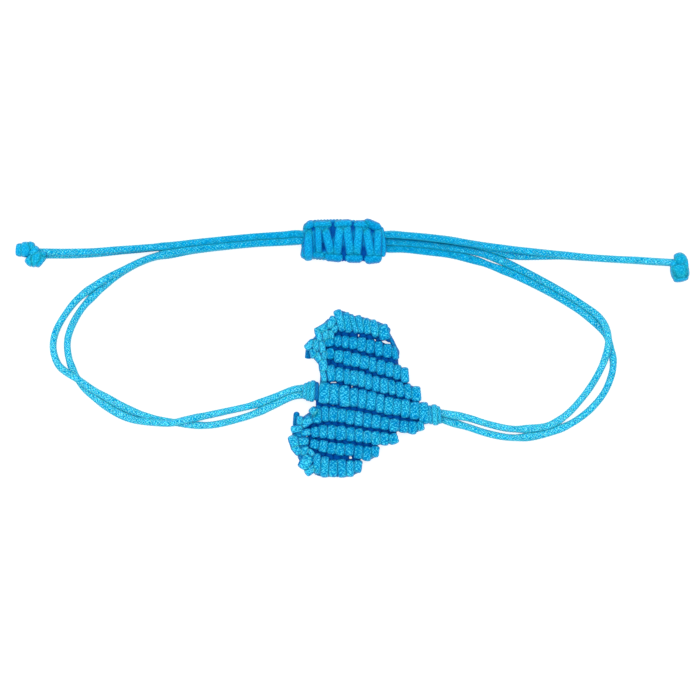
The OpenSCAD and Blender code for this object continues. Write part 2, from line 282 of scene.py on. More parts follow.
def braided_nylon(name, crown_highlight, body, gap_shade, shade_colour, shine, roughness, grain):
    """Nylon knotting cord, braided of fine filament bundles and dyed in the yarn.

    Its smooth filaments give a soft shine on each crown of the braid, painted on as a lighter
    crown colour, a painted highlight. Light that gets down between the strands comes back a deep,
    pure blue, painted on as darker gap and shade colours, painted shade. grain is how uneven it
    looks.
    """
    material = new_material(name)
    tree = material.node_tree
    # Real braid is never quite even: noise of about half a millimetre moves the pattern about
    place = add(tree, "ShaderNodeUVMap", uv_map="along_the_cord")
    where = add(tree, "ShaderNodeTexCoord").outputs["Object"]
    noise = add(tree, "ShaderNodeTexNoise", {"Vector": where, "Scale": 1.8 / MM, "Detail": 1.0})
    moved = add(tree, "ShaderNodeVectorMath", {0: noise.outputs["Color"], 1: (0.5, 0.5, 0.5)},
                operation="SUBTRACT").outputs[0]
    moved = add(tree, "ShaderNodeVectorMath", {0: moved, 1: (0.7, 0.24, 0.0)},
                operation="MULTIPLY").outputs[0]
    moved = add(tree, "ShaderNodeVectorMath", {0: place.outputs[0], 1: moved},
                operation="ADD").outputs[0]
    split = add(tree, "ShaderNodeSeparateXYZ", {"Vector": moved})
    around = add(tree, "ShaderNodeMath", {0: split.outputs["Y"], 1: BUNDLES},
                 operation="MULTIPLY").outputs[0]
    along = add(tree, "ShaderNodeMath", {0: split.outputs["X"], 1: BRAID_STEP},
                operation="DIVIDE").outputs[0]
    family = [add(tree, "ShaderNodeMath", {0: around, 1: along}, operation=turn).outputs[0]
              for turn in ("ADD", "SUBTRACT")]
    cell = [add(tree, "ShaderNodeMath", {0: f}, operation="FLOOR").outputs[0] for f in family]
    part = [add(tree, "ShaderNodeMath", {0: f}, operation="FRACT").outputs[0] for f in family]
    both = add(tree, "ShaderNodeMath", {0: cell[0], 1: cell[1]}, operation="ADD").outputs[0]
    second = add(tree, "ShaderNodeMath", {0: both, 1: 2.0}, operation="FLOORED_MODULO").outputs[0]
    lengths = [add(tree, "ShaderNodeMix", {"Factor": second, "A": a, "B": b},
                   data_type="FLOAT").outputs["Result"] for a, b in (part, part[::-1])]
    arches = [add(tree, "ShaderNodeMath", {0: add(tree, "ShaderNodeMath", {0: s, 1: math.pi},
                                                  operation="MULTIPLY").outputs[0]},
                  operation="SINE").outputs[0] for s in lengths]
    long_arch = add(tree, "ShaderNodeMath", {0: arches[1], 1: 0.4, 2: 0.6},
                    operation="MULTIPLY_ADD").outputs[0]
    height = add(tree, "ShaderNodeMath", {0: arches[0], 1: long_arch},
                 operation="MULTIPLY").outputs[0]
    # Each bundle takes the light a little differently where it comes to the top
    which = add(tree, "ShaderNodeCombineXYZ", {"X": cell[0], "Y": cell[1]})
    fleck = add(tree, "ShaderNodeTexWhiteNoise", {"Vector": which.outputs[0]},
                noise_dimensions="3D").outputs["Value"]
    # A strand of a high tone shows more of the crowns' colour, one of a low tone more of the
    # gaps';
    # tone is random, and in places also painted light and shade
    tone = add(tree, "ShaderNodeAttribute", attribute_name="tone").outputs["Fac"]
    level = add(tree, "ShaderNodeMath", {0: tone, 1: 0.1, 2: height},
                operation="MULTIPLY_ADD").outputs[0]
    painted_shade = add(tree, "ShaderNodeAttribute", attribute_name="painted_shade").outputs["Fac"]
    # The ramp paints the braid's crowns lighter, a painted highlight, and its gaps darker, painted
    # shade, over the braid's own pattern
    weave = add(tree, "ShaderNodeValToRGB", {"Fac": level})
    ramp = weave.color_ramp
    ramp.elements[0].position, ramp.elements[0].color = 0.1, linear(gap_shade)
    ramp.elements[1].position, ramp.elements[1].color = 0.95, linear(crown_highlight)
    ramp.elements.new(0.6).color = linear(body)
    uneven = add(tree, "ShaderNodeTexNoise", {"Vector": where, "Scale": 3.4 / MM, "Detail": 1.0})
    shade = add(tree, "ShaderNodeMath", {0: fleck, 1: 0.45, 2: -0.7},
                operation="MULTIPLY_ADD").outputs[0]
    shade = add(tree, "ShaderNodeMath", {0: uneven.outputs["Fac"], 1: 0.95, 2: shade},
                operation="MULTIPLY_ADD").outputs[0]
    shade = add(tree, "ShaderNodeMath", {0: shade, 1: grain, 2: 1.0},
                operation="MULTIPLY_ADD").outputs[0]
    dyed = add(tree, "ShaderNodeVectorMath", {0: weave.outputs["Color"], "Scale": shade},
               operation="SCALE").outputs[0]
    # Painted shade: where a strand is painted in shade it takes the shade colour
    sunk = add(tree, "ShaderNodeMapRange", {"Value": painted_shade, "From Min": 0.05, "From Max": 0.65},
               interpolation_type="SMOOTHSTEP").outputs["Result"]
    coloured = add(tree, "ShaderNodeMix", {"Factor": sunk, "A": dyed, "B": linear(shade_colour)},
                   data_type="RGBA").outputs["Result"]
    bump = add(tree, "ShaderNodeBump", {"Strength": 0.7 * grain, "Distance": 0.04 * MM,
                                        "Height": height})
    shader = add(tree, "ShaderNodeBsdfPrincipled", {
        "Base Color": coloured, "Roughness": roughness, "IOR": 1.53, "Specular IOR Level": 0.25,
        "Specular Tint": linear(shine), "Sheen Weight": 0.05, "Sheen Roughness": 0.4,
        "Sheen Tint": linear("#30C8F8"),
        "Subsurface Weight": 0.6, "Subsurface Scale": 0.6 * MM,
        "Subsurface Radius": (0.1, 0.7, 1.0), "Normal": bump.outputs[0]})
    add(tree, "ShaderNodeOutputMaterial", {"Surface": shader.outputs[0]})
    return material


# Loose cord keeps its round braid and its shine. Cord drawn tight in a knot is flatter and
# deeper in colour. Where two cords are worked as one the braid is pulled smooth, and a cut end
# that was sealed with a flame is dark and hard.
loose_nylon = braided_nylon(
    "braided_nylon_loose", crown_highlight="#70DEEC", body="#00A8D2", gap_shade="#0090CC",
    shade_colour="#18A4C0", shine="#40CCF0", roughness=0.42, grain=0.5)
tight_nylon = braided_nylon(
    "braided_nylon_drawn_tight", crown_highlight="#4CD2F2", body="#0096CA", gap_shade="#007EBC",
    shade_colour="#004CA0", shine="#28C8FF", roughness=0.45, grain=0.35)
smooth_nylon = braided_nylon(
    "braided_nylon_pulled_smooth", crown_highlight="#20B8EA", body="#009CD6", gap_shade="#0088C4",
    shade_colour="#0050A8", shine="#40D0FF", roughness=0.4, grain=0.15)
ends_nylon = braided_nylon(
    "braided_nylon_end_knot", crown_highlight="#30C4F0", body="#08A8DC", gap_shade="#009CD0",
    shade_colour="#00689C", shine="#60DCFF", roughness=0.42, grain=0.1)
sealed_nylon = braided_nylon(
    "braided_nylon_sealed_end", crown_highlight="#1490C8", body="#007CB8", gap_shade="#00609C",
    shade_colour="#004888", shine="#40D0FF", roughness=0.4, grain=0.5)

# Routes of the four loop cords, from the heart round the wrist, through the knot, to a tail
LEFT_1 = [
    [-7.6, -5.05, 1.2], [-9, -5.3, 1.05], [-11.3, -6.25, 0.7], [-13.9, -7.2, 0.45],
    [-17.4, -8, 0.4], [-20.2, -8.6, 0.55], [-22.2, -9, 1.05], [-24.2, -9.45, 1.24],
    [-26.5, -9.35, 1.1], [-28.4, -9.1, 0.75], [-30.2, -8.5, 0.45], [-32, -7.5, 0.4],
    [-33.6, -6.35, 0.4], [-35.1, -4.95, 0.4], [-36.2, -3.25, 0.4], [-36.95, -1.25, 0.4],
    [-37.1, 0.9, 0.4], [-36.4, 3.05, 0.4], [-35.05, 5.2, 0.4], [-32.9, 7.35, 0.4],
    [-30.15, 9.5, 0.4], [-26.95, 11.1, 0.4], [-23.8, 11.75, 0.4], [-20.5, 12.3, 0.4],
    [-14.3, 12.95, 0.45], [-10.2, 13.18, 0.8], [-8, 13.32, 1.06], [-5.3, 13.65, 0.88],
    [-2.6, 13.93, 1.07], [0.1, 14, 1.5], [2.8, 14.09, 1.93], [5.2, 14, 1.76],
    [8.4, 13.72, 1.38], [12, 13.22, 1.24], [16.4, 12.55, 1.2], [20.5, 12.05, 0.95],
    [24.5, 11.65, 1.22], [29.5, 11.15, 1.24], [34.5, 10.9, 1.24], [38.6, 10.65, 1.22],
]
LEFT_2 = [
    [-7.6, -5.9, 1.2], [-9, -6.15, 1.05], [-11.3, -7.2, 0.7], [-13.9, -8.35, 0.45],
    [-16.5, -9.15, 0.4], [-19.2, -9.7, 0.4], [-21.7, -9.65, 0.4], [-24.05, -9.3, 0.4],
    [-26.45, -8.85, 0.4], [-28.5, -8.15, 0.4], [-30.4, -7.3, 0.4], [-32.3, -6.2, 0.5],
    [-34, -5.2, 0.88], [-35.55, -4.1, 1.26], [-37.1, -3.15, 0.98], [-38.3, -2.05, 0.5],
    [-38.9, -0.1, 0.4], [-38.6, 1.9, 0.4], [-37.45, 4.05, 0.4], [-35.65, 6.25, 0.42],
    [-32.8, 8.3, 0.95], [-29.9, 9.8, 1.24], [-26.9, 11.15, 1.24], [-23.8, 11.9, 1.24],
    [-20.5, 12.35, 1.24], [-14.3, 12.95, 1.29], [-10.2, 13.18, 1.64], [-8, 13.32, 1.95],
    [-5.3, 12.99, 1.53], [-2.6, 13.07, 1.07], [0.1, 13.38, 0.9], [2.8, 14.09, 1.07],
    [5.2, 14, 0.92], [8.4, 13.72, 0.52], [12, 13.22, 0.4], [16.4, 12.2, 0.4],
    [19.2, 11.4, 0.4], [24.5, 11.45, 0.4], [29.5, 11.15, 0.4], [38.6, 10.6, 0.4],
]
RIGHT_1 = [
    [9.65, -8.15, 1.35], [11, -8.4, 1.2], [13.05, -8.8, 0.8], [15.5, -9.55, 0.45],
    [18.2, -10.15, 0.4], [20.8, -10.15, 0.4], [23.3, -9.7, 0.4], [25.4, -8.35, 0.4],
    [27.1, -6.55, 0.4], [28.55, -4.6, 0.4], [29.7, -2.5, 0.55], [30.3, -0.75, 1.05],
    [30.55, 0.9, 1.24], [30.2, 2.6, 1.15], [29.2, 4, 0.45], [27.15, 5.5, 0.4],
    [24.85, 6.95, 0.4], [22.05, 8.5, 0.4], [19.2, 9.95, 0.4], [16.4, 11.2, 0.4],
    [14, 11.95, 0.4], [11, 12.45, 0.4], [8, 12.85, 0.45], [5, 13.12, 0.9],
    [2.8, 13.2, 1.22], [0.1, 13.32, 2.11], [-2.6, 13.93, 1.93], [-5.3, 14.23, 1.5],
    [-8, 14.18, 1.07], [-10.2, 14.04, 0.8], [-14.3, 13.78, 0.42], [-20.5, 13.18, 0.4],
    [-25, 12.6, 0.4], [-30, 12.1, 0.4], [-35, 11.65, 0.4], [-39.95, 11.55, 0.4],
]
RIGHT_2 = [
    [9.65, -8.95, 0.9], [10.95, -9.35, 0.75], [13, -9.95, 0.5], [15.5, -10.75, 0.4],
    [18.2, -11.25, 0.4], [20.8, -11.15, 0.4], [23.45, -10.55, 0.4], [26, -9.45, 0.4],
    [28.2, -7.85, 0.4], [29.95, -5.8, 0.4], [30.9, -3.7, 0.4], [31.2, -1.9, 0.4],
    [30.9, -0.2, 0.4], [30.35, 1.5, 0.4], [29.2, 2.8, 0.4], [27.3, 4.4, 0.4],
    [24.65, 6.1, 0.4], [21.7, 7.7, 0.4], [18.7, 9.15, 0.4], [16, 10.2, 0.4],
    [14, 10.9, 0.4], [11, 11.6, 0.4], [8, 11.99, 0.42], [5, 12.3, 0.75],
    [2.8, 12.34, 1.1], [0.1, 12.73, 1.48], [-2.6, 13.07, 1.93], [-5.3, 13.62, 2.1],
    [-8, 14.18, 1.93], [-10.2, 14.04, 1.64], [-14.3, 13.78, 1.26], [-20.5, 13.18, 1.24],
    [-25, 12.65, 1.24], [-30, 12.3, 1.22], [-35, 11.95, 1.2], [-39.95, 11.95, 1.15],
]
LOOP_CORDS = {"left_cord_1": LEFT_1, "left_cord_2": LEFT_2,
              "right_cord_1": RIGHT_1, "right_cord_2": RIGHT_2}
CORD_RING = 0.06
CORD_SIDES = 24
# The braid's crowns stand out past the cord's mean radius, which swells and narrows a little
FULL = 1.14
SWELL = 0.02
# Cords that lie side by side, at most so far apart and so much higher or lower, spread until
# they touch and press together, but by no more than SPREAD
SIDE_BY_SIDE = 1.05
SAME_HEIGHT = 0.5
PRESSED = 0.05
SPREAD = 0.1
# A width is evened out over so many rings
EVEN_RINGS = 21
# How far a cord goes on inside the knots at its ends
TUCK = 0.8
# The loop cords are painted darker near the sliding knot, painted shade, and lighter away from
# it, painted light: the middle of that shade, how far round it that shows, and the tone of the
# cord away from it and by how much it falls near it
CORD_SHADE_X, CORD_SHADE_Y = -2, 13
CORD_SHADE_REACH = 16
OUTER_LIGHT_TONE = 1.5
CORD_SHADE_DROP = 4


def cord_path(route):
    """The smooth path of a loop cord, which goes on a little way inside the knots at its ends."""
    route = np.array(route, float)
    tucks = [unit(route[0] - route[1]), unit(route[-1] - route[-2])]
    return curve_through(np.concatenate([[route[0] + tucks[0] * TUCK], route,
                                         [route[-1] + tucks[1] * TUCK]]), CORD_RING)


def cord_half_width(node, paths):
    """Half the width of a cord along its path.

    It swells and narrows by two sines of uneven length. Where the nearest cord at the same
    height is less than SIDE_BY_SIDE away, it is half that distance plus PRESSED, but no
    smaller than before and at most SPREAD larger.
    """
    path = paths[node]
    run = np.arange(len(path)) * CORD_RING
    start = chance.uniform(0, 10, 2)
    half = CORD_D / 2 * FULL * (1 + SWELL * np.sin(run / 1.9 + start[0])
                                + SWELL * np.sin(run / 0.7 + start[1]))
    # Every fourth ring of the other cords is near enough
    others = np.concatenate([other[::4] for name, other in paths.items() if name != node])
    away = np.linalg.norm(path[:, None, :2] - others[:, :2], axis=2)
    away[np.abs(path[:, None, 2] - others[:, 2]) > SAME_HEIGHT] = np.inf
    near = away.min(axis=1)
    touching = np.where(near < SIDE_BY_SIDE,
                        np.clip(near / 2 + PRESSED, half, half + SPREAD), half)
    even = np.ones(EVEN_RINGS) / EVEN_RINGS
    return np.convolve(np.pad(touching, EVEN_RINGS // 2, mode="edge"), even, mode="valid")


def loop_cord(node, paths):
    """A loop cord, painted deeper in colour near the sliding knot, painted shade, and lighter away
    from it, painted light.

    Its tone falls by CORD_SHADE_DROP exp(-(d / CORD_SHADE_REACH)^2), where d is the distance from
    the middle of the knot, with distances along X taken as half.
    """
    path = paths[node]
    away = np.hypot((path[:, 0] - CORD_SHADE_X) / 2, path[:, 1] - CORD_SHADE_Y)
    # Painted shade at its sides where it meets its neighbours, and painted light and shade along
    # it through its tone
    tube = strand(path, UP, cord_half_width(node, paths), CORD_D / 2, sides=CORD_SIDES,
                  relief=LOOSE_RELIEF, square=0.85, side_shade=0.5,
                  tone=OUTER_LIGHT_TONE - CORD_SHADE_DROP * np.exp(-(away / CORD_SHADE_REACH) ** 2))
    made = piece("braided_" + node, [tube], loose_nylon)
    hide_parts(node)
    return made, path


cord_paths = {node: cord_path(route) for node, route in LOOP_CORDS.items()}
loop_cords = {node: loop_cord(node, cord_paths) for node in LOOP_CORDS}

# The heart's rows of double half hitches, along the CAD model's row lines. Columns: points of the
# centre line with the half width there, the borders between hitches along X, how far the
# hitches lean back from upright, in degrees, and the row's tone.
ROWS = [
    [[[-3.3, 3.44, 1.3], [-2.4, 3.2, 1.18], [-1.4, 2.97, 1], [-0.5, 2.91, 0.92],
      [0.5, 2.62, 0.94], [1.5, 2.31, 0.94], [2.5, 1.9, 0.84], [3.1, 1.56, 0.72]],
     [-3.45, -2.5, -1.65, -0.9, -0.1, 0.8, 1.8, 3.1], 17, 0.3],
    [[[-4.4, 0.75, 0.5], [-3.25, 0.81, 0.57], [-2.4, 0.71, 0.63], [-1.5, 0.59, 0.66],
      [-0.5, 0.44, 0.72], [0.5, 0.21, 0.75], [1.5, -0.04, 0.79], [2.5, -0.31, 0.79],
      [3.5, -0.56, 0.75], [4.1, -0.75, 0.6]],
     [-4.9, -3.75, -2.75, -1.9, -0.8, 0.25, 1.3, 2.4, 3.45, 4.2], 5, -0.8],
    [[[-4.4, -0.69, 0.5], [-3.5, -1, 0.66], [-2.5, -1.25, 0.79], [-1.5, -1.44, 0.75],
      [-0.5, -1.66, 0.82], [0.5, -1.98, 0.8], [1.5, -2.25, 0.79], [2.5, -2.6, 0.75],
      [3.5, -2.81, 0.88], [4.5, -3.25, 0.78], [5.4, -3.56, 0.8]],
     [-4.7, -3.7, -2.6, -1.6, -0.5, 0.6, 1.55, 2.7, 3.7, 4.6, 5.55], 6, -0.2],
    [[[-4.1, -3.19, 0.88], [-3.25, -3.31, 0.81], [-2.5, -3.56, 0.79], [-1.5, -3.75, 0.88],
      [-0.5, -3.88, 0.94], [0.5, -4.25, 0.91], [1.5, -4.54, 0.91], [2.5, -4.75, 0.84],
      [3.5, -4.98, 0.85], [4.5, -5.23, 0.85], [5.5, -5.5, 0.82], [6.25, -5.73, 0.78],
      [6.8, -5.85, 0.78]],
     [-4.6, -3.6, -2.55, -1.7, -0.75, 0.1, 1, 2, 3, 3.95, 5, 5.95, 7.05], 7, 0],
    [[[-5, -5.65, 1.16], [-3.75, -5.79, 1.25], [-2.46, -6.04, 1.16], [-1.25, -6.21, 1.12],
      [-0.25, -6.38, 1.09], [0.88, -6.63, 1.09], [2, -6.96, 1.05], [3, -7.25, 1.06],
      [4.13, -7.41, 1], [5.06, -7.56, 1.04], [6.38, -7.88, 1.08], [7.5, -8.2, 1.16]],
     [-5.56, -4.34, -3.1, -1.79, -0.75, 0.34, 1.46, 2.53, 3.63, 4.6, 5.73, 6.9, 8.05], 1, 0.4],
    [[[-5.9, -8.56, 0.81], [-4.9, -8.29, 0.84], [-3.9, -8.34, 0.75], [-2.9, -8.46, 0.79],
      [-1.75, -8.69, 0.79], [-0.6, -8.88, 0.79], [0.4, -9.06, 0.75], [1.5, -9.25, 0.73],
      [2.6, -9.48, 0.71], [3.75, -9.69, 0.68], [4.9, -9.85, 0.66], [5.9, -10, 0.7],
      [6.75, -9.88, 0.55], [7.2, -9.72, 0.4]],
     [-6.4, -5.3, -4.4, -3.3, -2.25, -1.2, -0.1, 0.95, 2.05, 3.1, 4.4, 5.55, 6.6, 7.45], 2, 0],
    [[[-6.1, -10.56, 0.56], [-5.1, -10.5, 0.72], [-4.1, -10.56, 0.79], [-3, -10.66, 0.79],
      [-1.9, -10.78, 0.75], [-0.75, -10.91, 0.79], [0.25, -11.13, 0.68], [1.4, -11.31, 0.71],
      [2.5, -11.38, 0.65], [3.5, -11.4, 0.58], [4, -11.34, 0.42]],
     [-6.6, -5.6, -4.6, -3.55, -2.25, -1.1, -0.1, 0.9, 2, 3.1, 4.2], 3, 0],
    [[[-6.1, -12.06, 0.5], [-5.1, -12.31, 0.63], [-4, -12.56, 0.63], [-2.9, -12.69, 0.66],
      [-1.75, -12.75, 0.69], [-0.75, -13.04, 0.69], [0.4, -13.23, 0.79], [1.25, -13.04, 0.6],
      [1.75, -12.8, 0.45]],
     [-6.7, -5.6, -4.55, -3.5, -2.4, -1.25, -0.1, 0.9, 1.85], 0, -0.6],
    [[[-5.9, -14.44, 1.1], [-4.9, -14.88, 1.15], [-3.9, -15.09, 1], [-2.75, -15.06, 1],
      [-1.75, -15.1, 0.9], [-1, -14.94, 0.72], [-0.5, -14.72, 0.5]],
     [-6.3, -5.4, -4.4, -3.3, -2.2, -1.25, -0.3], 0, 0.2],
]
# The loops that wrap the lobes' outer edges. Columns: middle in X and Y, the way that the cord
# runs over the top in degrees from X, half its length that shows, half its width.
EDGE_LOOPS = [
    [-4.05, 3.1, 62, 0.85, 0.5], [-5.15, 2.4, 30, 0.85, 0.48], [-4.75, 1.45, 100, 1, 0.45],
    [-4.1, 1.5, 96, 0.8, 0.4], [-3.65, 2.4, 72, 0.62, 0.42],
    [-5.65, 1.6, 108, 0.95, 0.42], [-6.75, 0.35, 48, 0.75, 0.45], [-6, 0.25, 90, 0.8, 0.42],
    [-5.2, 0.05, 92, 0.95, 0.42], [-6.35, -0.7, 98, 0.65, 0.42], [-5.75, -1.15, 118, 0.8, 0.44],
    [-4.95, -0.95, 80, 0.6, 0.38], [-5.1, -2.2, 96, 0.85, 0.55], [-5.05, -3.5, 104, 0.85, 0.38],
    [-6.1, -8.2, 125, 0.85, 0.48], [-7.15, -9.25, 40, 0.85, 0.55], [-8, -9.15, 85, 0.6, 0.42],
    [-8.35, -10.15, 4, 0.78, 0.46], [-7.2, -10.6, 20, 0.65, 0.44], [-8.75, -11.75, 112, 0.82, 0.6],
    [-7.6, -11.7, 5, 0.8, 0.52], [-8.4, -12.75, 128, 0.7, 0.5], [-7.4, -12.85, 30, 0.65, 0.5],
    [-6.6, -13.1, 120, 0.5, 0.34], [-7.2, -14.25, 58, 1.05, 0.74], [-6.5, -15.2, 35, 0.98, 0.48],
]
# The cords inside those loops. Columns: X, Y, half width.
EDGE_CORES = [
    [[-3.9, 3.3, 0.7], [-5.1, 2, 0.65], [-5.7, 1.1, 0.55], [-6.2, 0.2, 0.75], [-5.8, -0.8, 0.75],
     [-5.1, -2, 0.6], [-4.95, -3.3, 0.55], [-5.05, -4.4, 0.5], [-5.3, -5.2, 0.4]],
    [[-5.4, -7.3, 0.5], [-6.2, -8.3, 0.6], [-7.3, -9.4, 0.8], [-8, -10.6, 0.9],
     [-8.1, -11.8, 0.95], [-7.45, -12.8, 1.1], [-7, -14.1, 1], [-6.1, -15.1, 0.7]],
]
# The core cord where it turns over along the upper lobe's right edge, and where it shows below
# the last row. Columns: X, Y, height above the middle, half width.
EDGE_CORDS = [
    [[2.75, 2.1, 0, 0.3], [3.2, 1.3, 0, 0.3], [3.55, 0.65, 0, 0.3], [3.85, 0, 0, 0.3],
     [4.15, -0.6, -0.1, 0.3], [4, -1.3, -0.3, 0.3], [4.05, -2.2, -0.3, 0.3],
     [4.3, -2.9, -0.2, 0.3]],
    [[-6.2, -15.5, 0, 0.3], [-5.3, -15.88, 0, 0.24], [-3.5, -15.93, 0, 0.26],
     [-1.9, -15.88, 0, 0.24], [-1, -15.35, 0, 0.25], [-0.6, -14.8, 0, 0.2]],
]
# Where the weave lets light through. Columns: the groove below which row, middle in X and Y,
# half width and half height, slope.
PINHOLES = [[0, -0.68, 1.52, 0.14, 0.14, 0], [0, 1.36, 0.9, 0.15, 0.14, -0.2],
            [0, 2.6, 0.72, 0.5, 0.2, -0.5], [3, -4.65, -4.45, 0.18, 0.1, 0.4],
            [3, -3.98, -4.35, 0.22, 0.08, 0], [3, -3.52, -4.42, 0.13, 0.14, -0.6],
            [3, -1.5, -4.9, 0.12, 0.12, 0], [4, -4, -7.12, 0.42, 0.08, -0.25],
            [7, -1.68, -13.75, 0.24, 0.15, -0.1]]
# The heart's thickness
HEART_T = 2.3
# The hitched cord's half thickness, how square a loop is, where 1 is an ellipse, and its rings
LOOP_THICK = 0.3
LOOP_SQUARE = 0.55
LOOP_RINGS = 40
# How far neighbouring hitches press together, and how far each goes on down into its groove
PRESS = 1.14
GROOVE_DIP = 0.18
# The same for the loops of the wrapped edges
EDGE_PRESS = 1.08
EDGE_DIP = 0.05
# The core inside a row: how far it goes past the row's width, its share of the row's height,
# and its painted shade
CORE_OUT = 0.06
CORE_RISE = 0.75
CORE_SHADE = 0.3
# The width that a working cord takes up in a groove, and the least stretch that holds one
WORKING_WIDTH = 0.9
LEAST_STRETCH = 0.15


def hitch(centre, along, across, reach, rise, half_width, lean=0.0, loop_square=LOOP_SQUARE,
          square=0.82, side_shade=0.3, **strand_options):
    """One loop of cord round a row: a squarish ellipse, reach across and rise upwards.

    Its cord's middle is Q(f) = centre + across (reach - t) C(f) + up (rise - t) S(f) + along
    lean cos f, with t = LOOP_THICK, where C and S are the cosine and sine with their size
    raised to the power loop_square. The rings are at equal steps of length, and the cord itself
    is pressed to a squarish section.
    """
    f = np.linspace(0, 2 * np.pi, 361)[:, None]
    cosine = np.sign(np.cos(f)) * np.abs(np.cos(f)) ** loop_square
    sine = np.sign(np.sin(f)) * np.abs(np.sin(f)) ** loop_square
    fine = (centre + across * (reach - LOOP_THICK) * cosine
            + UP * (rise - LOOP_THICK) * sine + along * lean * np.cos(f))
    run = np.append(0, np.cumsum(np.linalg.norm(np.diff(fine, axis=0), axis=1)))
    even = np.arange(LOOP_RINGS) / LOOP_RINGS * run[-1]
    path = np.stack([np.interp(even, run, column) for column in fine.T], axis=1)
    return strand(path, path - centre, half_width, LOOP_THICK, closed=True, square=square,
                  side_shade=side_shade, **strand_options)


def directions(degrees):
    """The way at an angle from X in the plane, and the way a right angle clockwise from it."""
    angle = math.radians(degrees)
    return (np.array([math.cos(angle), math.sin(angle), 0]),
            np.array([math.sin(angle), -math.cos(angle), 0]))


def middle_height(node):
    """The height of the middle of a CAD node."""
    low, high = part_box(node)
    return (low[2] / MM + high[2] / MM) / 2


def row_values(row, x):
    """The centre line's Y and half width of a row at X."""
    points = np.array(row[0])
    return [np.interp(x, points[:, 0], points[:, column]) for column in (1, 2)]


def hitched_row(row, rise=HEART_T / 2):
    """A row of hitches between its borders, round a core of cord."""
    points, borders, lean, tone = row
    tilt = math.radians(lean)
    across = np.array([-math.sin(tilt), math.cos(tilt), 0])
    loops = []
    for left, right in zip(borders, borders[1:]):
        x = (left + right) / 2
        y, half = row_values(row, x)
        slope = row_values(row, right)[0] - row_values(row, left)[0]
        along = unit(np.array([right - left, slope, 0.0]))
        # Each hitch is painted in shade at its sides, by a random amount, where it meets its
        # neighbours
        loops.append(hitch(np.array([x, y, 0.0]), along, across,
                           half / math.cos(tilt) * chance.uniform(0.95, 1.08) + GROOVE_DIP,
                           rise * chance.uniform(0.92, 1.0), (right - left) / 2 * PRESS,
                           chance.uniform(-0.14, 0.14), square=0.85,
                           side_shade=chance.uniform(0.1, 0.55), tone=tone))
    # The cords inside the hitches fill the row, and show in the notches between them, painted in
    # shade
    core = curve_through([[x, y, 0.0, half] for x, y, half in points], 0.12)
    loops.append(strand(core[:, :3], UP, core[:, 3] + CORE_OUT, CORE_RISE * rise,
                        sunk=CORE_SHADE))
    return loops


def edge_loop(x, y, degrees, half, half_width):
    """A loop of the wrapped edges, whose cord runs over the top at the given angle."""
    across, along = directions(degrees)
    # The wrapped edges are painted lighter through their tone, a painted highlight
    return hitch(np.array([x, y, 0.0]), along, across, half + EDGE_DIP,
                 HEART_T / 2 * chance.uniform(0.86, 1.0), half_width * EDGE_PRESS,
                 chance.uniform(-0.08, 0.08), side_shade=0.5, tone=1.8)


def working_cords(groove):
    """The cords that pass from one row to the next, side by side but for the pinholes.

    Each pinhole has a short cord above it and below it, at +-(half height + 0.22 - 0.15 r^2)
    from its slanted middle line, for r from -1 to 1 along it, which leaves the hole open.
    """
    upper, lower = ROWS[groove], ROWS[groove + 1]
    start = max(upper[1][0], lower[1][0]) - 0.4
    end = min(upper[1][-1], lower[1][-1]) - 0.2
    holes = [hole[1:] for hole in PINHOLES if hole[0] == groove]
    edges = [start] + [x + turn * half for x, _, half, *_ in holes for turn in (-1, 1)] + [end]
    cords = []
    for left, right in zip(edges[::2], edges[1::2]):
        if right - left < LEAST_STRETCH:
            continue
        count = max(round((right - left) / WORKING_WIDTH), 1)
        half = (right - left) / count / 2
        for x in left + half + np.arange(count) * 2 * half:
            high, low = row_values(upper, x)[0], row_values(lower, x)[0]
            keys = [[x, high, 0], [x, (high + low) / 2, chance.uniform(-0.1, 0.05)], [x, low, 0]]
            # Painted shade: the cords down in the groove take mostly the shade colour
            cords.append(strand(curve_through(keys, 0.15), UP, half * 1.2, half_height=0.4,
                                sides=10, square=0.8, sunk=0.7))
    for x, y, half, height, slope in holes:
        for turn in (-1, 1):
            keys = [[x + run * (half + 0.2),
                     y + turn * (height + 0.22 - 0.15 * run ** 2) + slope * run * half, 0.05]
                    for run in (-1, 0, 1)]
            # The cords beside a pinhole are painted in shade too
            cords.append(strand(curve_through(keys, 0.08), UP, half_width=0.23,
                                half_height=0.4, sides=12, sunk=0.6))
    return cords


def make_heart():
    """The rows, the wrapped edges and the cords in the grooves, as one woven piece."""
    tubes = [tube for row in ROWS for tube in hitched_row(row)]
    tubes += [edge_loop(*loop) for loop in EDGE_LOOPS]
    # The cores of the wrapped edges and the core cords at the edges are painted in shade
    for points in EDGE_CORES:
        core = curve_through([[x, y, 0.0, half] for x, y, half in points], 0.08)
        tubes.append(strand(core[:, :3], UP, core[:, 3], half_height=0.75, sunk=CORE_SHADE))
    for groove in range(len(ROWS) - 1):
        tubes += working_cords(groove)
    for points in EDGE_CORDS:
        cord = curve_through(points, 0.1)
        tubes.append(strand(cord[:, :3], UP, cord[:, 3], half_height=0.4, sunk=0.28))
    for tube in tubes:
        tube["points"][:, 2] += HEART_T / 2
    # Painted shade in the hollows between rows and hitches
    heart = piece("hitched_heart", tubes, tight_nylon, in_hollows=True)
    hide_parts("heart_panel")


make_heart()


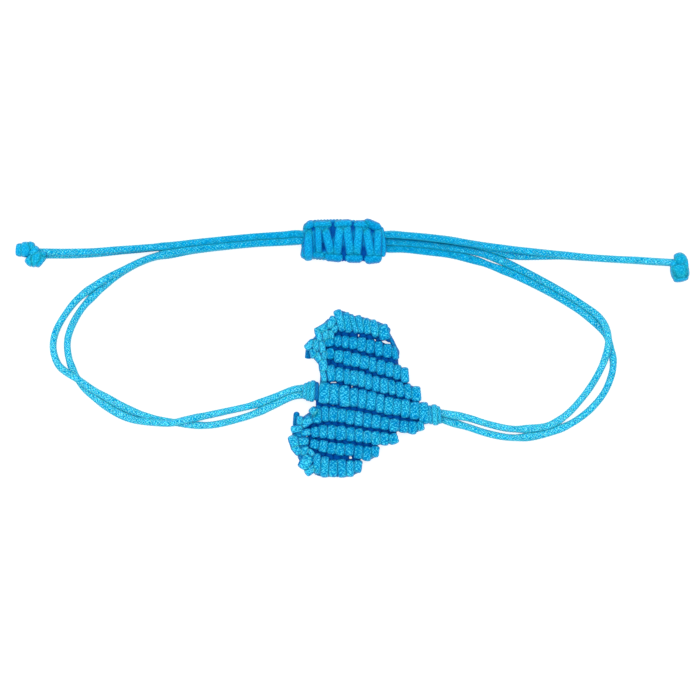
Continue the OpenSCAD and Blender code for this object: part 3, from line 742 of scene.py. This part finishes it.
# The wrapped knots in the heart's cleft and at its tip. Columns: place along X, middle along Y,
# half size across, half height, half width of the wrap, lean, its share of painted shade.
CLEFT_WRAPS = [[-7.3, -5.42, 1.05, 0.9, 0.34, 0.1, 0], [-6.9, -5.45, 1.25, 1.02, 0.34, 0.1, 0],
               [-6.45, -5.43, 1.38, 1.1, 0.36, 0.1, 0], [-5.95, -5.45, 1.2, 1.0, 0.34, 0, 0.45]]
TIP_WRAPS = [[8.3, -8.4, 1.2, 1.02, 0.34, -0.1, 0.25], [8.85, -8.4, 1.34, 1.12, 0.42, -0.12, 0],
             [9.3, -8.42, 1.14, 1.02, 0.36, -0.12, 0]]


def wrapped_knot(name, node, wraps):
    """A small knot of wraps side by side round the cords that leave the heart."""
    z = middle_height(node)
    # The wraps are painted in shade at their sides and the knot in its hollows
    tubes = [hitch(np.array([x, y, z]), np.array([1.0, 0, 0]), np.array([0, 1.0, 0]),
                   reach, rise, half, lean, square=0.9, side_shade=0.35, sunk=sunk, tone=1.6)
             for x, y, reach, rise, half, lean, sunk in wraps]
    made = piece(name, tubes, tight_nylon, in_hollows=True)
    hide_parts(node)


wrapped_knot("wrapped_cleft_knot", "cleft_knot", CLEFT_WRAPS)
wrapped_knot("wrapped_tip_knot", "tip_knot", TIP_WRAPS)


# Trimmed cord ends. Columns: foot in X and Y, tip in X and Y, how far the end is rounded.
STUBS = {"upper_stub": [-6.9, -0.1, -7.02, -1.4, 0.1],
         "lower_stub": [-8.56, -9.9, -8.4, -8.0, 0.35]}


def trimmed_end(node, x0, y0, x1, y1, round_ends):
    """A cord end that was cut off and sealed, from its foot in the heart to its tip."""
    z = middle_height(node)
    keys = [[x0, y0, z - 0.1], [(x0 + x1) / 2, (y0 + y1) / 2, z + 0.05], [x1, y1, z]]
    tube = strand(curve_through(keys, 0.05), UP, half_width=0.4, half_height=0.4,
                  round_ends=round_ends)
    made = piece("sealed_" + node, [tube], sealed_nylon)
    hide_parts(node)


for node, ends in STUBS.items():
    trimmed_end(node, *ends)


# The sliding knot of square knots, as seen from above. Columns of a strand on its face: X and Y
# of its upper and of its lower end, half width.
FACE_STRANDS = [
    [-5.72, 14.75, -5.65, 12.1, 0.46], [-4.85, 14.6, -4.12, 12.0, 0.6],
    [-3.0, 14.75, -3.38, 11.95, 0.6], [-2.15, 14.8, -1.7, 11.95, 0.6],
    [-0.62, 14.75, -0.9, 11.95, 0.6], [0.27, 14.5, 0.88, 11.75, 0.6],
    [1.74, 14.35, 1.66, 11.75, 0.55]]
# The bars along its two edges. Columns: X and Y of both ends, half width, tone.
EDGE_BARS = [
    [-7.45, 14.9, -6.3, 15.35, 0.62, -0.6], [-6.2, 15.3, -4.15, 15.3, 0.62, 0],
    [-3.6, 15.35, -1.65, 15.45, 0.62, 0.2], [-1.15, 15.3, 0.75, 15.35, 0.62, 0],
    [0.1, 15.5, 2.05, 14.95, 0.66, -1.4], [-7.7, 12.6, -7.2, 11.5, 0.45, -1.2],
    [-6.5, 11.65, -4.95, 11.6, 0.6, -0.5], [-4.85, 11.45, -2.8, 11.3, 0.68, -0.5],
    [-2.2, 11.25, -0.3, 11.22, 0.68, -0.5], [0.2, 11.1, 2.1, 11.25, 0.72, -0.5]]
# The first strand, which turns over the lower edge, and the last one, round the right end.
# Columns: X, Y, height above the knot's middle, half width.
FIRST_STRAND = [[-6.8, 15.0, 0.0, 0.45], [-6.87, 14.4, 0.75, 0.54], [-6.93, 13.4, 1.12, 0.6],
                [-6.95, 12.2, 1.08, 0.62], [-6.93, 11.4, 0.6, 0.62], [-6.9, 11.05, -0.1, 0.55]]
LAST_STRAND = [[2.0, 15, 0.1, 0.4], [2.2, 14.2, 0.6, 0.4], [2.35, 13.2, 0.7, 0.38],
               [2.4, 12.2, 0.6, 0.4], [2.25, 11.4, 0.1, 0.4]]
# What lies behind the openings between them, painted in shade, and the middles of the openings,
# where it falls back into pits and is painted darkest. Columns of the core: X, Y, half width.
# Columns of a pit: X, Y.
KNOT_CORE = [[-7.6, 13.45, 1.4], [-6.9, 13.5, 2.35], [-4.7, 13.45, 2.6], [-2.6, 13.4, 2.65],
             [0, 13.27, 2.55], [1.6, 13.15, 2.2], [2.4, 13.1, 1.3]]
KNOT_PITS = np.array([[-6.45, 15.1], [-3.8, 15.1], [-3.9, 14.3], [-1.4, 15.1], [1.1, 14.85],
                      [-5.05, 12.55], [-2.55, 12.1], [-2.55, 11.2], [-0.1, 12.1], [-0.05, 11.2]])
KNOT_MIDDLE = [0, 0, 1.5]
# Height of the face strands above the knot's middle, and half their thickness
FACE_Z = 1.15
FACE_THICK = 0.34
# How wide a pit is, its share of the core's height, and the core's painted shade outside the pits
PIT_REACH = 0.45
PIT_SINK = 0.4
KNOT_CORE_SHADE = 0.25


def make_sliding_knot():
    """Strands over both faces, the back mirroring the front, and bars along both edges.

    A face strand stands 0.72 above the knot's middle at its two ends, past which it bends down
    into the knot, and FACE_Z above it a third of its length from each end.
    """
    front = [FIRST_STRAND, LAST_STRAND]
    for x0, y0, x1, y1, half in FACE_STRANDS:
        lean = (x1 - x0) * 0.2
        front.append([[x0 - lean, y0 + 0.6, -0.1, half * 0.9], [x0, y0, 0.72, half],
                      [x0 * 0.67 + x1 * 0.33, y0 * 0.67 + y1 * 0.33, FACE_Z, half],
                      [x0 * 0.33 + x1 * 0.67, y0 * 0.33 + y1 * 0.67, FACE_Z, half],
                      [x1, y1, 0.72, half], [x1 + lean, y1 - 0.6, -0.1, half * 0.9]])
    # Strands and bars are painted in shade at their sides, where they meet their neighbours
    tubes = []
    for face in (1, -1):
        for keys in front:
            path = curve_through(keys, 0.07) * [1, 1, face, 1]
            tubes.append(strand(path[:, :3] + KNOT_MIDDLE, UP, path[:, 3], FACE_THICK, sides=20,
                                square=0.9, side_shade=0.5, tone=0.5))
    for x0, y0, x1, y1, half, tone in EDGE_BARS:
        keys = [[x0 - 0.1, y0, -0.1], [x0 + 0.3, y0, 0], [(x0 + x1) / 2, (y0 + y1) / 2, 0.05],
                [x1 - 0.3, y1, 0], [x1 + 0.1, y1, -0.1]]
        tubes.append(strand(curve_through(keys, 0.07) + KNOT_MIDDLE, UP, half,
                            half_height=0.95, sides=24, round_ends=0.5, side_shade=0.45, tone=tone))
    core = curve_through([[x, y, 0, half] for x, y, half in KNOT_CORE], 0.08)
    core = strand(core[:, :3] + KNOT_MIDDLE, UP, core[:, 3], half_height=1.2, sides=48)
    # Near a pit: the sum of exp(-(d / PIT_REACH)^2) over the pits, at most 1
    away = np.linalg.norm(core["points"][:, None, :2] - KNOT_PITS, axis=2)
    near = np.minimum(np.exp(-(away / PIT_REACH) ** 2).sum(axis=1), 1)
    # Painted shade on the core, all of it in the pits
    core["painted_shade"] = KNOT_CORE_SHADE + (1 - KNOT_CORE_SHADE) * near
    core["points"][:, 2] -= PIT_SINK * near * (core["points"][:, 2] - KNOT_MIDDLE[2])
    tubes.append(core)
    knot = piece("square_knot_closure", tubes, smooth_nylon)
    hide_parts("sliding_knot")


make_sliding_knot()


# The tails' end knots: turns of the doubled tail. Columns: middle of a turn in X and Y, the way
# that it runs over the top in degrees from X, and half its length, height and width.
END_KNOTS = {
    "left_end_knot": [
        [-42.98, 12.2, 84, 0.85, 0.95, 0.52], [-42.25, 12.25, 84, 1.0, 1.15, 0.6],
        [-41.7, 12.55, 70, 0.72, 0.95, 0.5], [-41.25, 11.95, 58, 0.85, 1.12, 0.46],
        [-41.5, 11.0, 48, 0.9, 1.1, 0.6], [-41.0, 11.1, 50, 1.12, 1.2, 0.62],
        [-40.55, 11.0, 50, 1.02, 1.05, 0.58], [-40.25, 11.45, 60, 0.68, 0.9, 0.48]],
    "right_end_knot": [
        [38.8, 10.45, 55, 0.68, 0.95, 0.48], [39.45, 10.92, 100, 0.98, 0.98, 0.62],
        [39.5, 10.95, 35, 0.9, 1.12, 0.6], [40.08, 10.4, 100, 0.85, 0.95, 0.42],
        [39.45, 9.55, 8, 1.2, 1.18, 0.9], [39.45, 9.35, 98, 1.18, 1.08, 0.95]],
}


def end_knot(node, turns):
    """A doubled tail wound on itself: loops in two directions, drawn tight round a core."""
    z = middle_height(node)
    # The turns are painted in shade at their sides, the core between them all through, and the
    # knot in its hollows
    tubes = []
    for x, y, degrees, half, rise, half_width in turns:
        across, along = directions(degrees)
        tubes.append(hitch(np.array([x, y, z]), along, across, half, rise, half_width,
                           chance.uniform(-0.06, 0.06), loop_square=0.8, square=0.95, side_shade=0.25,
                           relief=KNOT_RELIEF))
    middles = np.array([[turn[0], turn[1], z] for turn in turns])
    tubes.append(strand(curve_through(middles, 0.1), UP, half_width=0.5, half_height=0.7,
                        sides=12, sunk=0.6))
    made = piece("overhand_" + node, tubes, ends_nylon, in_hollows=True)
    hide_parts(node)
    return made


left_end = end_knot("left_end_knot", END_KNOTS["left_end_knot"])
right_end = end_knot("right_end_knot", END_KNOTS["right_end_knot"])


# The floor's half width, in metres, and how much it glows
FLOOR_HALF = 0.6
FLOOR_GLOW = 0.75
# An even studio sky, and one large softbox above: its place and width in metres, its watts
SKY_STRENGTH = 0.85
SOFTBOX_PLACE = (-0.08, 0.12, 0.6)
SOFTBOX_WIDTH = 0.6
SOFTBOX_POWER = 1.8


def make_floor():
    """A plain pale light table, far wider than the bracelet, which glows a little."""
    corners = [(x * FLOOR_HALF, y * FLOOR_HALF, 0)
               for x, y in ((-1, -1), (1, -1), (1, 1), (-1, 1))]
    mesh = bpy.data.meshes.new("floor")
    mesh.from_pydata(corners, [], [(0, 1, 2, 3)])
    material = new_material("pale_light_table")
    tree = material.node_tree
    shader = add(tree, "ShaderNodeBsdfPrincipled",
                 {"Base Color": linear("#A4A6A6"), "Roughness": 0.9, "Specular IOR Level": 0.2,
                  "Emission Color": linear("#FFFFFF"), "Emission Strength": FLOOR_GLOW})
    add(tree, "ShaderNodeOutputMaterial", {"Surface": shader.outputs[0]})
    mesh.materials.append(material)
    floor = bpy.data.objects.new("floor", mesh)
    bpy.context.scene.collection.objects.link(floor)


def make_light():
    """Soft, nearly even light from all round, a little stronger from above."""
    world = bpy.data.worlds.new("studio")
    world.use_nodes = True
    tree = world.node_tree
    tree.nodes.clear()
    sky = add(tree, "ShaderNodeBackground",
              {"Color": linear("#FFFFFF"), "Strength": SKY_STRENGTH})
    add(tree, "ShaderNodeOutputWorld", {"Surface": sky.outputs[0]})
    bpy.context.scene.world = world
    data = bpy.data.lights.new("softbox", "AREA")
    data.size, data.energy = SOFTBOX_WIDTH, SOFTBOX_POWER
    softbox = bpy.data.objects.new("softbox", data)
    softbox.location = SOFTBOX_PLACE
    softbox.rotation_mode = "QUATERNION"
    softbox.rotation_quaternion = (-Vector(SOFTBOX_PLACE)).to_track_quat("-Z", "Y")
    bpy.context.scene.collection.objects.link(softbox)
    bpy.context.scene.view_settings.view_transform = "Standard"


make_floor()
make_light()
